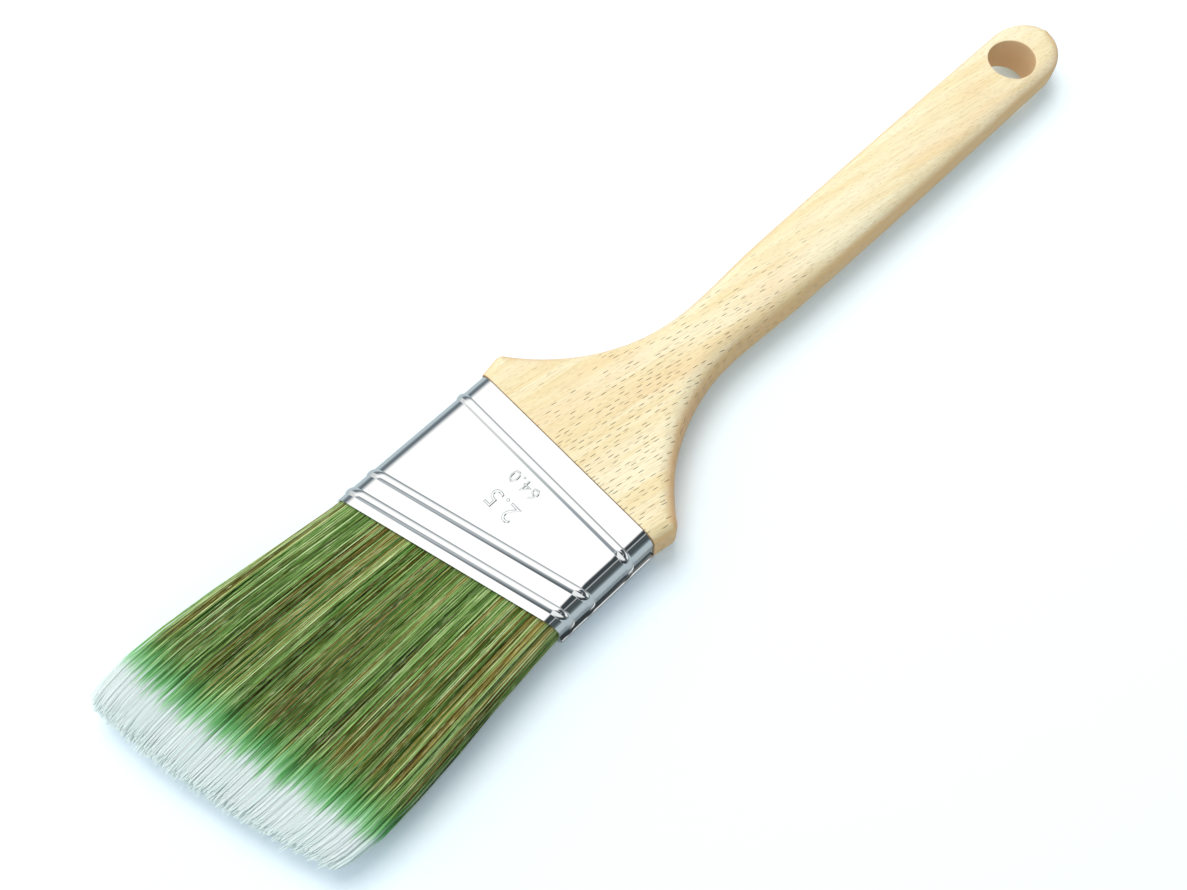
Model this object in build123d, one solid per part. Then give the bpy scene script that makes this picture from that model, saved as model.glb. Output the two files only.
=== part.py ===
from build123d import *
import math
import os
import random

# An angled sash paint brush, lying flat, in millimetres.
# Origin: the middle of the hanging hole, at mid thickness.
# +X runs along the centre line to the bristle tips, +Z is up through the thickness,
# and the long corner of the angled mouth (the toe) is on the -Y side.

# ---- driving dimensions -------------------------------------------------------------

# Handle
handle_length = 195.8  # butt end to the ferrule's handle edge
handle_thick = 16.2  # head and neck
butt_thick = 10.8  # at the very end
hole_diameter = 13.8
hole_to_end = 17.8  # hole centre to the butt end
shoulder_width = 67.8  # widest point of the head, before its corners are rounded
shoulder_height = 7.2  # ferrule edge to the widest point
shoulder_overhang = 0.3  # each side, where the head meets the ferrule
neck_width = 17.0
neck_distance = 53.5  # ferrule edge to the neck
grip_width = 19.4  # a little behind the neck
grip_distance = 80.0  # ferrule edge to that place
palm_width = 20.5
palm_distance = 125.0  # ferrule edge to that place
butt_width = 20.9
nose_length = 13.0  # the elliptical rounding of the butt end
edge_round = 4.8  # all edges of the handle
taper_distance = 50.0  # ferrule edge to where the handle starts to thin
tenon_length = 13.0  # inside the ferrule

# Ferrule
ferrule_width = 63.5
ferrule_thick = 15.8
ferrule_corner = 4.5
ferrule_wall = 0.5
ferrule_length = 40.5  # along the centre line
mouth_angle = 15.1  # degrees the mouth leans from square
bead_radius = 1.7  # radius of the rolled bead's outside
bead_height = 0.45  # how far a bead stands out of the band
handle_bead = 7.9  # handle edge to the bead's middle
mouth_bead = 3.75  # mouth edge to the bead's middle, along X
inner_bead = 10.8  # mouth edge to the second bead's middle, along X
seam_drop = 3.4  # mid height to the upper edge of the lapped seam, on the +Y side
seam_width = 3.2  # height of the strip that laps over
seam_step = 0.5  # how far the strip stands out

# Inside the ferrule
fit_gap = 0.1  # rigid pieces inside the ferrule
glue_thick = 1.0
epoxy_length = 10.0
spacer_thick = 1.8
spacer_margin = 4.0  # each side, from the ferrule's inside
spacer_cover = 2.0  # resin behind the spacers
spacer_recess = 4.0  # mouth edge to the spacers' ends, along X

# Bristles
bristle_length = 76.5  # out of the mouth, on the centre line
tip_angle = 15.0  # degrees the tips lean from square
tip_round = 2.5  # how much further back the tips are at the sides
tip_spread = 1.10  # width at the tips over width at the mouth
side_flare = 0.22  # how much the sides would widen in all, if the tips did not draw in
tip_draw = 8  # the power of the length with which the tips draw in
tip_thin = 0.42  # thickness at the tips over thickness at the mouth
belly = 0.29  # extra thickness half way along, as a share of the thickness
chisel = 0.07  # how much shorter the outermost strands are
stations = (0.0, 0.4, 0.8)  # shares of the length where a strand bends
root_recess = 1.0  # mouth edge to the face of the packed roots
root_embed = 1.5  # how deep a strand sits in the packed roots
soft_gap = 0.3  # packed roots to the ferrule
columns = 44
rows_per_layer = 3
strand_fill = 0.84  # share of a strand's place that it fills
strand_tip_fill = 0.62  # share in width at the tip
length_scatter = 0.014  # share of the length

# ---- derived places -----------------------------------------------------------------

ferrule_x = handle_length - hole_to_end
mouth_x = ferrule_x + ferrule_length
tip_x = mouth_x + bristle_length
tenon_end = ferrule_x + tenon_length
epoxy_start = tenon_end + glue_thick
epoxy_end = epoxy_start + epoxy_length
inner_width = ferrule_width - 2 * ferrule_wall
inner_thick = ferrule_thick - 2 * ferrule_wall
inner_corner = ferrule_corner - ferrule_wall
bundle_thick = inner_thick - 2 * soft_gap
layer_thick = (bundle_thick - 2 * spacer_thick) / 3
layer_pitch = layer_thick + spacer_thick
mouth_lean = math.tan(math.radians(mouth_angle))
tip_lean = math.tan(math.radians(tip_angle))
reach = 2 * (ferrule_length + ferrule_width)  # longer than the whole ferrule
tiny = 0.01  # an edge no longer than this along X runs square across the handle

ferrule_edge = Plane(origin=(ferrule_x, 0, 0), x_dir=(0, 1, 0), z_dir=(1, 0, 0))


def mouth_plane(back=0.0):
    """The plane of the mouth, moved back towards the handle along X."""
    return Plane(origin=(mouth_x - back, 0, 0), z_dir=(1, mouth_lean, 0))


def band(shrink, start, end):
    """A bar with the ferrule's outer section, smaller by shrink on every side."""
    section = RectangleRounded(
        ferrule_width - 2 * shrink, ferrule_thick - 2 * shrink, ferrule_corner - shrink
    )
    return extrude(ferrule_edge.offset(start - ferrule_x) * section, end - start)


def behind(shape, plane):
    """The part of a shape on the handle's side of a plane."""
    return split(shape, bisect_by=plane, keep=Keep.BOTTOM)


# ---- handle -------------------------------------------------------------------------


def plan_outline():
    """Half of the handle seen from above, from the ferrule edge to the butt end."""
    corner = (ferrule_x, ferrule_width / 2 + shoulder_overhang)
    shoulder = (ferrule_x - shoulder_height, shoulder_width / 2)
    neck = (ferrule_x - neck_distance, neck_width / 2)
    grip = (ferrule_x - grip_distance, grip_width / 2)
    palm = (ferrule_x - palm_distance, palm_width / 2)
    nose = (nose_length - hole_to_end, butt_width / 2)
    flare = Line(corner, shoulder)
    waist = TangentArc(neck, shoulder, tangent=(1, 0))
    swell = Spline(neck, grip, palm, nose, tangents=[(-1, 0), (-1, 0)])
    end = EllipticalCenterArc((nose[0], 0), nose_length, nose[1], start_angle=90, arc_size=90)
    return [flare, waist, swell, end]


def plan_prism():
    """The handle's plan, cut from a board of the handle's thickness."""
    half = Curve() + plan_outline()
    whole = half + mirror(half, about=Plane.XZ)
    closing = Line((ferrule_x, ferrule_width / 2 + shoulder_overhang),
                   (ferrule_x, -ferrule_width / 2 - shoulder_overhang))
    return extrude(make_face(whole + closing), handle_thick / 2, both=True)


def side_prism():
    """The handle's side view: level head and neck, then a long even thinning."""
    level = handle_thick / 2
    start = ferrule_x - taper_distance
    top = [
        Line((ferrule_x, level), (start, level)),
        TangentArc((start, level), (-hole_to_end, butt_thick / 2), tangent=(-1, 0)),
    ]
    half = Curve() + top
    whole = half + mirror(half, about=Plane.XZ)
    ends = [
        Line((ferrule_x, level), (ferrule_x, -level)),
        Line((-hole_to_end, butt_thick / 2), (-hole_to_end, -butt_thick / 2)),
    ]
    face = make_face(whole + ends)
    return extrude(Plane.XZ * face, shoulder_width, both=True)


def edges_to_round(body):
    """The rims of the top and bottom faces and the head's corners, but not the ferrule's end."""
    free = body.edges() - body.edges().group_by(Axis.X)[-1]
    rims = [
        edge for edge in free
        if edge.bounding_box().size.X > tiny and abs(edge.center().Z) > tiny
    ]
    corners = free.filter_by(Axis.Z).group_by(Axis.X)[-1]
    return rims + corners


def make_handle():
    body = plan_prism() & side_prism()
    body = fillet(edges_to_round(body), edge_round)
    hole = Cylinder(hole_diameter / 2, handle_thick * 2)
    tenon = band(ferrule_wall + fit_gap, ferrule_x, tenon_end)
    return body - hole + tenon


# ---- ferrule ------------------------------------------------------------------------


def bead_path(plane):
    """The loop that a bead's centre follows, where a plane cuts the band."""
    depth = bead_radius - bead_height
    core = band(depth, ferrule_x - reach, ferrule_x + reach)
    return section(core, section_by=plane).face().outer_wire()


def bead_tube(plane, radius):
    path = bead_path(plane)
    start = Plane(origin=path @ 0, z_dir=path % 0)
    return sweep(start * Circle(radius), path=path)


def lapped_seam():
    """The strip along the narrow side where one end of the sheet laps over the other."""
    over = band(-seam_step, ferrule_x, mouth_x + reach)
    strip = Pos(ferrule_x, 0, -seam_drop) * Box(
        reach, ferrule_width, seam_width, align=(Align.MIN, Align.MIN, Align.MAX)
    )
    return behind(over & strip, mouth_plane())


def make_ferrule():
    """A band of even wall, with three beads rolled outwards and its ends lapped."""
    outside = behind(band(0, ferrule_x, mouth_x + reach), mouth_plane()) + lapped_seam()
    inside = band(ferrule_wall, ferrule_x - 1, mouth_x + reach)
    planes = [ferrule_edge.offset(handle_bead), mouth_plane(inner_bead), mouth_plane(mouth_bead)]
    shell = outside
    for plane in planes:
        shell += bead_tube(plane, bead_radius)
    shell -= inside
    for plane in planes:
        shell -= bead_tube(plane, bead_radius - ferrule_wall)
    return shell


# ---- pieces inside the ferrule ------------------------------------------------------


def make_glue():
    return band(ferrule_wall + fit_gap, tenon_end, epoxy_start)


def make_spacer(side):
    """A flat strip between two layers of filament; side is 1 for the front one."""
    width = inner_width - 2 * spacer_margin
    start = epoxy_start + spacer_cover
    middle = side * layer_pitch / 2
    strip = Pos(start, 0, middle) * Box(
        reach, width, spacer_thick, align=(Align.MIN, Align.CENTER, Align.CENTER)
    )
    return behind(strip, mouth_plane(spacer_recess))


def make_epoxy(spacers):
    block = band(ferrule_wall + fit_gap, epoxy_start, epoxy_end)
    for spacer in spacers:
        block -= spacer
    return block


# ---- bristles -----------------------------------------------------------------------


def row_half_width(z):
    """Half the width of the packed bundle at a height, inside its rounded corners."""
    radius = inner_corner - soft_gap
    over = min(radius, max(0.0, abs(z) - (bundle_thick / 2 - radius)))
    return inner_width / 2 - soft_gap - radius + math.sqrt(radius**2 - over**2)


def spread_at(share):
    """Width over the width at the mouth: the sides flare straight, and the tips draw in."""
    return 1 + side_flare * share - (1 + side_flare - tip_spread) * share**tip_draw


def thin_at(share):
    """Thickness over the thickness at the mouth: a belly, and thin tips."""
    return 1 + (tip_thin - 1) * share + 4 * belly * share * (1 - share)


def tip_at(y):
    """Where the tips end along X, at a distance from the centre line."""
    side = tip_spread * inner_width / 2
    return tip_x - y * tip_lean - tip_round * (y / side) ** 2


def strand(y, z, wide, thick, end):
    """One four-sided strand, from the packed roots to its tip, in straight runs."""
    root_face = mouth_x - root_recess - y * mouth_lean
    tip = tip_at(y * tip_spread)
    wires = []
    for share in (*stations, end):
        spread = spread_at(share)
        thin = thin_at(share)
        middle_y = y * spread
        middle_z = z * thin
        half_y = wide / 2 * (1 + (strand_tip_fill / strand_fill - 1) * share)
        half_z = thick / 2 * thin
        x = root_face + (tip - root_face) * share
        if share == 0.0:
            x -= root_embed
        corners = [
            (x, middle_y + a * half_y, middle_z + b * half_z)
            for a, b in ((1, 1), (-1, 1), (-1, -1), (1, -1))
        ]
        wires.append(Wire.make_polygon(corners))
    return Solid.make_loft(wires, ruled=True)


def make_bristles(layer):
    """One layer of strands on its slice of packed roots; layer is 1, 0 or -1."""
    scatter = random.Random(7 + layer)
    middle = layer * layer_pitch
    slice_box = Pos(epoxy_end, 0, middle) * Box(
        reach, inner_width, layer_thick, align=(Align.MIN, Align.CENTER, Align.CENTER)
    )
    roots = slice_box & band(ferrule_wall + soft_gap, epoxy_end, mouth_x + reach)
    roots = behind(roots, mouth_plane(root_recess))
    row_pitch = layer_thick / rows_per_layer
    strands = []
    for row in range(rows_per_layer):
        z = middle + (row + 0.5) * row_pitch - layer_thick / 2
        half = row_half_width(abs(z) + row_pitch * strand_fill / 2)
        count = columns - (row + layer) % 2
        pitch = 2 * half / columns
        for column in range(count):
            y = (column - (count - 1) / 2) * pitch
            edge = (abs(z) / (bundle_thick / 2)) ** 1.5
            end = 1 - chisel * edge + scatter.uniform(-1, 1) * length_scatter
            strands.append(strand(y, z, pitch * strand_fill, row_pitch * strand_fill, end))
    return roots.fuse(*strands), len(strands)


# ---- build --------------------------------------------------------------------------


def main():
    os.makedirs("parts", exist_ok=True)
    spacers = {"spacer_front": make_spacer(1), "spacer_back": make_spacer(-1)}
    pieces = {
        "handle": make_handle(),
        "ferrule": make_ferrule(),
        "tenon_glue": make_glue(),
        "setting_epoxy": make_epoxy(spacers.values()),
        **spacers,
    }
    total = 0
    for name, layer in (("front", 1), ("middle", 0), ("back", -1)):
        pieces["bristles_" + name], count = make_bristles(layer)
        total += count
    print("strands", total)
    for name, shape in pieces.items():
        export_step(shape, "parts/" + name + ".step")


main()
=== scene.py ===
import math

import bmesh
import bpy
import numpy as np
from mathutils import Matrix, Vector


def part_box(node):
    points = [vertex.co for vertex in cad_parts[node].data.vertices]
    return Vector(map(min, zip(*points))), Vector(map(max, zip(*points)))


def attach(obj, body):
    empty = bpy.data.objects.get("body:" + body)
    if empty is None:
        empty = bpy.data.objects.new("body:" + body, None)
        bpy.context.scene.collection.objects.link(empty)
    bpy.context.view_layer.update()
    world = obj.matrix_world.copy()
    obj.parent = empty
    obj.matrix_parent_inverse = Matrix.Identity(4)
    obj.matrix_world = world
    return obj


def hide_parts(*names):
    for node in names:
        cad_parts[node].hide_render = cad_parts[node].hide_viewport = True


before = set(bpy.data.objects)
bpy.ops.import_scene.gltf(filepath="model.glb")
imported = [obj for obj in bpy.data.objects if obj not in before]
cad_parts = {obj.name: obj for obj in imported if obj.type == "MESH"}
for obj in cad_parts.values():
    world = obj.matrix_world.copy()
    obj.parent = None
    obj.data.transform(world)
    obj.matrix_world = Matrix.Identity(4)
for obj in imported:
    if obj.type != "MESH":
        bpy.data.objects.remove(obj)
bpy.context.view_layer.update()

# The paint brush lies flat, as in the CAD frame: the origin is the middle of the hanging
# hole, +X runs to the bristle tips and +Z is up. The bristles' long side, the toe, is on
# the -Y side, and the short side, the heel, is on the +Y side.
# Lengths are in millimetres and become metres when a mesh is made; the materials, the
# stage, the lamp and the camera are in metres.

MM = 0.001

# ---- driving places, from the frame ---------------------------------------------------

bead_height = 0.45
ferrule_low, ferrule_high = (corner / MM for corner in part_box("ferrule"))
handle_low, handle_high = (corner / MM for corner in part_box("handle"))
ferrule_x = ferrule_low.x
half_width = -ferrule_low.y - bead_height
half_thick = ferrule_high.z - bead_height
mouth_lean = math.tan(math.radians(15.1))
mouth_x = ferrule_high.x - half_width * mouth_lean
butt_x = handle_low.x
tenon_x = handle_high.x
floor_z = ferrule_low.z


# ---- mesh helpers ---------------------------------------------------------------------


def add_piece(name, mesh, slot, *nodes):
    """A piece with a mesh; it rides on the brush's one body and replaces some nodes."""
    obj = bpy.data.objects.new(name, mesh)
    bpy.context.scene.collection.objects.link(obj)
    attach(obj, "root")
    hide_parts(*nodes)
    return obj


def closed_piece(name, points, faces, slot, node, sharp_degrees):
    """A smooth piece from points and faces; edges that turn by more are sharp."""
    mesh = bpy.data.meshes.new(name)
    mesh.from_pydata((np.asarray(points, float) * MM).tolist(), [], faces)
    mesh.validate()
    obj = add_piece(name, mesh, slot, node)
    weld(mesh)
    mesh.shade_smooth()
    mesh.set_sharp_from_angle(angle=math.radians(sharp_degrees))
    return obj


def weld(mesh, distance=0.002):
    """Joins the points that meet and turns all faces outwards."""
    work = bmesh.new()
    work.from_mesh(mesh)
    bmesh.ops.remove_doubles(work, verts=work.verts, dist=distance * MM)
    bmesh.ops.dissolve_degenerate(work, edges=work.edges, dist=distance * MM / 2)
    bmesh.ops.recalc_face_normals(work, faces=work.faces)
    work.to_mesh(mesh)
    work.free()


def ease(low, high, value):
    """0 below low, 1 above high, smooth in between."""
    share = np.clip((np.asarray(value, float) - low) / (high - low), 0, 1)
    return share * share * (3 - 2 * share)


def rise_by(height, low, high, value):
    """0 below low, the height above high, smooth in between."""
    return height * ease(low, high, value)


def unit(vector):
    return vector / np.linalg.norm(vector, axis=-1, keepdims=True)


# ---- handle ---------------------------------------------------------------------------
# In this section "along" is the distance from the ferrule's edge towards the butt.

head_half = half_width + 0.35
shoulder_along = 7.25
shoulder_half = 33.4
shoulder_round = 2.6
least_round = 0.35  # of the shoulder, on the outlines moved inwards
neck_along = 54.0
neck_half = 8.76
swell_along = (80.0, 100.0, 140.0)
swell_half = (9.87, 10.1, 10.25)
swell_steps = 90
butt_half = 10.25
nose_length = 12.4

head_thick = 8.1
taper_along = 50.0  # where the handle starts to thin
taper_length = 145.8
taper_depth = 2.5
taper_power = 1.6
rim_head = 4.2
rim_gain = (1.2, 9, 42)  # towards the neck: how much, from where and to where
rim_loss = (1.3, 60, 190)  # towards the butt, in the same order
crown_head = 0.05
crown_gain = (0.25, 40, 110)
end_easing = 0.25  # how far the wood's edge is eased against the ferrule
end_easing_along = 0.35

hole_radius = 6.9
hole_along = ferrule_x
hole_easing = 0.3
plate_reach = 13.0  # hole centre to where the plate round the hole starts
plate_shares = (0.85, 0.68, 0.5, 0.34, 0.2, 0.1, 0.03)  # its rings, from loop to hole
plate_row = 5  # the row of the rounding that the plate starts from
wall_rows = 5  # rows of the sides below the rounding
round_rows = 13
top_columns = 25
far_inside = 99.0  # a distance to the outline at which no rounding is left

tenon_gap = 0.6  # ferrule's outside to the tenon
tenon_round = 3.9


def handle_thick(along):
    """Half the thickness: level at the head and neck, then thinning to the butt."""
    share = np.clip((along - taper_along) / taper_length, 0, None)
    return head_thick - taper_depth * share**taper_power


def rim_radius(along):
    """The rounding of the long edges: tight on the head, full at the neck and grip."""
    return rim_head + rise_by(*rim_gain, along) - rise_by(*rim_loss, along)


def crown_height(along):
    """How far the middle of the top stands above its rims."""
    return crown_head + rise_by(*crown_gain, along)


def swell_curve(end_along):
    """Points and outward normals from the neck to where the nose starts: a cubic through
    the knots that doesn't swing past them."""
    knots_x = np.array([neck_along, *swell_along, end_along])
    knots_y = np.array([neck_half, *swell_half, butt_half])
    slopes = np.zeros(len(knots_x))
    steps = np.diff(knots_y) / np.diff(knots_x)
    slopes[1:-1] = 2 * steps[:-1] * steps[1:] / np.maximum(steps[:-1] + steps[1:], 1e-9)
    x = np.linspace(neck_along, end_along, swell_steps)
    i = np.clip(np.searchsorted(knots_x, x, side="right") - 1, 0, len(knots_x) - 2)
    gap = knots_x[i + 1] - knots_x[i]
    t = (x - knots_x[i]) / gap
    y = ((1 + 2 * t) * (1 - t) ** 2 * knots_y[i] + t * (1 - t) ** 2 * gap * slopes[i]
         + t * t * (3 - 2 * t) * knots_y[i + 1] + t * t * (t - 1) * gap * slopes[i + 1])
    normal = unit(np.stack([-np.gradient(y, x), np.ones_like(x)], 1))
    return np.stack([x, y], 1), normal


def handle_outline():
    """The side of the handle as a function: it gives the outline, moved inwards."""
    start = np.array([0.0, head_half])
    peak = np.array([shoulder_along, shoulder_half])
    flare = unit(peak - start)
    flare_normal = np.array([-flare[1], flare[0]])
    run, drop = neck_along - shoulder_along, shoulder_half - neck_half
    waist_radius = (run**2 + drop**2) / (2 * drop)
    waist_centre = np.array([neck_along, neck_half + waist_radius])
    end_along = ferrule_x - butt_x - nose_length
    swell, swell_normal = swell_curve(end_along)
    flare_share = np.array([0, 0.02, 0.05, 0.1, 0.25, 0.4, 0.55, 0.7, 0.85])
    corner_share = np.linspace(0, 1, 13)
    waist_share = np.linspace(0, 1, 64)[1:]
    turn = np.linspace(0, math.pi / 2, 40)[1:]
    nose = np.stack([end_along + nose_length * np.sin(turn), butt_half * np.cos(turn)], 1)
    nose_normal = unit(np.stack([np.sin(turn) / nose_length, np.cos(turn) / butt_half], 1))

    def corner_centre(inset):
        """The centre of the shoulder's arc, on the flare's and the waist's offsets."""
        radius = max(shoulder_round - inset, least_round)
        reach = inset + radius
        base = start - flare_normal * reach
        away = base - waist_centre
        b = away @ flare
        along = -b - math.sqrt(b * b - (away @ away) + (waist_radius + reach) ** 2)
        return base + flare * along, radius

    def ring(inset_of):
        """Points of the outline moved inwards by inset_of(along)."""
        corner_inset = float(inset_of(shoulder_along))
        centre, radius = corner_centre(corner_inset)
        to_waist = unit(waist_centre - centre)
        first = start - flare_normal * corner_inset
        first = first - flare * (first[0] / flare[0])
        last = centre + flare_normal * radius
        flare_points = first + np.outer(flare_share, last - first)
        angle_0 = math.atan2(flare_normal[1], flare_normal[0])
        angle_1 = math.atan2(to_waist[1], to_waist[0])
        angles = angle_0 + (angle_1 - angle_0) * corner_share
        corner_points = centre + radius * np.stack([np.cos(angles), np.sin(angles)], 1)
        begin = math.atan2(-to_waist[1], -to_waist[0])
        sweep = begin + (-math.pi / 2 - begin) * waist_share
        arc = np.stack([np.cos(sweep), np.sin(sweep)], 1)
        rough = waist_centre + waist_radius * arc
        waist_points = waist_centre + (waist_radius + inset_of(rough[:, :1])) * arc
        swell_points = swell - swell_normal * inset_of(swell[:, :1])
        nose_points = nose - nose_normal * inset_of(nose[:, :1])
        return np.concatenate(
            [flare_points, corner_points, waist_points, swell_points[1:], nose_points]
        )

    return ring


class Skin:
    """Collects grids of quads for one mesh; places turn from "along" into the frame."""

    def __init__(self):
        self.points = []
        self.faces = []

    def grid(self, block, mirror_y=1, mirror_z=1, flip=False):
        """Quads over a block of rows and columns of (along, y, z)."""
        first, (rows, columns) = len(self.points), block.shape[:2]
        placed = block * [-1, mirror_y, mirror_z] + [ferrule_x, 0, 0]
        self.points.extend(placed.reshape(-1, 3))
        for r in range(rows - 1):
            for c in range(columns - 1):
                a = first + r * columns + c
                quad = [a, a + 1, a + columns + 1, a + columns]
                self.faces.append(quad[::-1] if flip else quad)


def make_handle():
    ring = handle_outline()
    base = ring(lambda along: 0 * np.asarray(along, float))
    radius = rim_radius(base[:, 0])

    def rise(plan, from_outline, at_radius):
        """Height of the surface at a plan point, from its distance to the outline."""
        level = handle_thick(plan[:, 0]) - crown_height(plan[:, 0])
        over = np.clip(at_radius - from_outline, 0, None)
        edge = np.sqrt(np.clip(at_radius**2 - over**2, 0, None)) - at_radius
        width = np.interp(plan[:, 0], base[:, 0], base[:, 1] - radius)
        crown = np.clip(1 - (plan[:, 1] / np.maximum(width, 1)) ** 2, 0, 1)
        return level + edge + crown_height(plan[:, 0]) * crown

    # the rounded sides: rows from mid height to the rim of the top, one column a station
    rows = []
    for share in np.linspace(0, 1, wall_rows + 1)[:-1]:
        rows.append(np.column_stack([base, share * rise(base, 0, radius)]))
    for turn in np.linspace(0, math.pi / 2, round_rows):
        share = 1 - math.cos(turn)
        plan = ring(lambda along, share=share: rim_radius(along) * share)
        rows.append(np.column_stack([plan, rise(plan, radius * share, radius)]))
    side = np.stack(rows)
    end_step = end_easing * (1 - ease(0, end_easing_along, side[:, :, 0]))
    side[:, :, 1] -= end_step
    side[:, :, 2] -= end_step * side[:, :, 2] / head_thick

    # the top face: rows straight across, as far as the plate round the hanging hole
    rim = side[-1]
    start = int(np.searchsorted(rim[:, 0], hole_along - plate_reach))
    across = np.linspace(1, -1, top_columns)
    top = []
    for station in rim[: start + 1]:
        plan = np.column_stack([np.full(top_columns, station[0]), station[1] * across])
        height = rise(plan, far_inside, 1.0)
        top.append(np.column_stack([plan, height + station[2] - height[0]]))
    top = np.stack(top)

    # the plate: rings from a loop on the rounding to the rim of the hole, and its wall
    row = wall_rows + plate_row
    left = side[row, start:]
    right = side[row, start:-1][::-1] * [1, -1, 1]
    climb = side[row + 1:, start]
    cross = np.concatenate([climb * [1, -1, 1], top[start, 1:-1][::-1], climb[::-1]])
    loop = np.concatenate([left, right, cross])
    centre = np.array([hole_along, 0.0])
    circle = unit(loop[:, :2] - centre)

    def plate_height(plan):
        gaps = np.linalg.norm(plan[:, None] * [1, 0] + np.abs(plan[:, None]) * [0, 1]
                              - base[None], axis=2)
        near = gaps.argmin(1)
        return rise(plan, gaps.min(1), radius[near])

    rings = [loop]
    for share in plate_shares:
        inner = centre + circle * (hole_radius + hole_easing)
        plan = inner + (loop[:, :2] - inner) * share
        rings.append(np.column_stack([plan, plate_height(plan)]))
    for turn in np.linspace(0, math.pi / 2, 6):
        plan = centre + circle * (hole_radius + hole_easing * (1 - math.sin(turn)))
        drop = hole_easing * (1 - math.cos(turn))
        rings.append(np.column_stack([plan, plate_height(plan) - drop]))
    lip = rings[-1]
    for share in (0.75, 0.5, 0.25, 0.0):
        rings.append(lip * [1, 1, share])
    plate = np.stack(rings)
    plate = np.concatenate([plate, plate[:, :1]], 1)

    # the end against the ferrule, and the tenon inside it
    tenon_half = np.array([half_width, half_thick]) - tenon_gap
    head = np.concatenate([side[:, 0], top[0, 1:-1], side[::-1, 0] * [1, -1, 1]])
    flat = np.array([head_half, head_thick]) - radius[0]
    over = np.clip((np.abs(head[:, 1:]) - flat) / radius[0], 0, 1)
    inside = np.clip(np.abs(head[:, 1:]) / flat, 0, 1) * (tenon_half - tenon_round)
    tenon = np.zeros_like(head)
    tenon[:, 1:] = np.sign(head[:, 1:]) * (inside + over * tenon_round)
    back = tenon - [tenon_x - ferrule_x, 0, 0]
    end = np.stack([head, tenon, back, back * [1, 1, 0]])

    skin = Skin()
    for z_sign in (1, -1):
        for y_sign in (1, -1):
            skin.grid(side[:, : start + 1], y_sign, z_sign, y_sign * z_sign > 0)
            skin.grid(side[: row + 1, start:], y_sign, z_sign, y_sign * z_sign > 0)
        skin.grid(top, 1, z_sign, z_sign > 0)
        skin.grid(plate, 1, z_sign, z_sign < 0)
        skin.grid(end, 1, z_sign, z_sign < 0)
    return closed_piece("handle_wood", skin.points, skin.faces, "handle", "handle", 50)


# ---- ferrule --------------------------------------------------------------------------

ferrule_corner = 4.5
ferrule_wall = 0.5
corner_stations = 31
narrow_steps, wide_steps = 12, 60  # along the band's narrow and wide sides
handle_hem, mouth_hem = 0.6, 0.3  # rows of the mesh beside the band's two edges
bead_radius = 2.18
bead_foot = 0.2  # the rounding at a bead's two feet
handle_bead = 8.0  # handle edge to the bead's middle
mouth_beads = (10.7, 3.7)  # mouth edge to each bead's middle
between_rows = 9  # of the mesh, from the handle's bead to the first mouth bead
seam_step = 0.75  # how far the lapped sheet stands out, below the seam
seam_gap = 0.22  # between the two sheets
seam_deep = 0.5  # how deep the gap shows
seam_lip = 0.05  # the small slope at the gap's outer edge
seam_round = 0.12
seam_fade = (-2.6, 3.0)  # heights between which the beads rise from nothing, on that side
seam_low = math.radians(45)  # how far round the lower corner the lap reaches
seam_low_end = 1.4 * seam_low  # and where it has faded out


def bead_profile():
    """Offsets along the band and heights of a rolled bead, with a small foot."""
    depth = bead_radius - bead_height
    foot = math.sqrt((bead_radius + bead_foot) ** 2 - (depth + bead_foot) ** 2)
    meet = math.atan2(foot, depth + bead_foot)
    offsets, heights = [], []
    for turn in np.linspace(0, meet, 7):
        offsets.append(-foot + bead_foot * math.sin(turn))
        heights.append(bead_foot * (1 - math.cos(turn)))
    for turn in np.linspace(-meet, meet, 17)[1:-1]:
        offsets.append(bead_radius * math.sin(turn))
        heights.append(bead_radius * math.cos(turn) - depth)
    for turn in np.linspace(meet, 0, 7):
        offsets.append(foot - bead_foot * math.sin(turn))
        heights.append(bead_foot * (1 - math.cos(turn)))
    return np.array(offsets), np.array(heights)


def lap_edge():
    """The lapped sheet's edge: a small rounding, a ledge, a gap, and the sheet behind.
    Heights above the end of the corner's arc, and how far each point is lifted."""
    turn = np.linspace(0, math.pi / 2, 5)
    up = seam_round * (1 + np.sin(turn))
    lift = seam_step - seam_round * (1 - np.cos(turn))
    top, deep = up[-1], up[-1] - seam_deep
    up = np.append(up, [top, top - seam_lip, deep, deep, top])
    lift = np.append(lift, [seam_gap + seam_lip, seam_gap, seam_gap, 0.0, 0.0])
    return up, lift


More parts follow.
